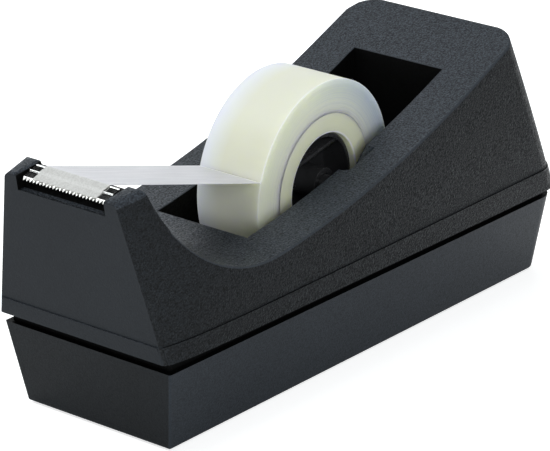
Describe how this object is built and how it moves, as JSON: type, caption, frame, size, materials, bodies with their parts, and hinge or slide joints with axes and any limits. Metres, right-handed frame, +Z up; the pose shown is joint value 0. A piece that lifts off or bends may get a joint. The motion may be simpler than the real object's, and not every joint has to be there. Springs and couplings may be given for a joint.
{
  "type": "tape dispenser",
  "caption": "Weighted desk tape dispenser: tall moulded housing with a scooped top on a drafted base, a lift-out reel with a full roll and a toothed steel cutter.",
  "frame": {"origin": "on the desk, under the middle of the overall length and width, at the underside of the non-slip pad", "axes": "+X along the length from the cutter towards the tall rear end, +Y across (the axle's direction), +Z up"},
  "size_m": [0.1721, 0.0546, 0.0708],
  "materials": {
    "housing_plastic": "black styrene, spark-eroded grain, smooth band at the foot",
    "base_plastic": "black styrene, fine grain",
    "cast_weight": "as cast",
    "pad_foam": "closed-cell foam, non-slip",
    "screw_steel": "zinc plated",
    "cutter_steel": "nickel plated sheet",
    "reel_plastic": "glossy black",
    "core_plastic": "ivory core",
    "tape_film": "translucent matt film"
  },
  "bodies": {
    "housing": {"upper_housing": "housing_plastic", "base_tray": "base_plastic", "ballast_weight": "cast_weight", "non_slip_pad": "pad_foam", "assembly_screws": "screw_steel", "cutter_blade": "cutter_steel", "tape_strip": "tape_film"},
    "axle": {"spindle_axle": "reel_plastic"},
    "reel": {"core_hub": "reel_plastic", "tape_core": "core_plastic", "tape_roll": "tape_film"}
  },
  "joints": [
    {"name": "reel_lift", "type": "slide", "parent": "housing", "child": "axle", "axis": [0.4848, 0, 0.8746], "range_m": [0, 0.066]},
    {"name": "reel_spin", "type": "hinge", "parent": "axle", "child": "reel", "pos_m": [0.00185, 0, 0.04285], "axis": [0, 1, 0], "continuous": true}
  ]
}
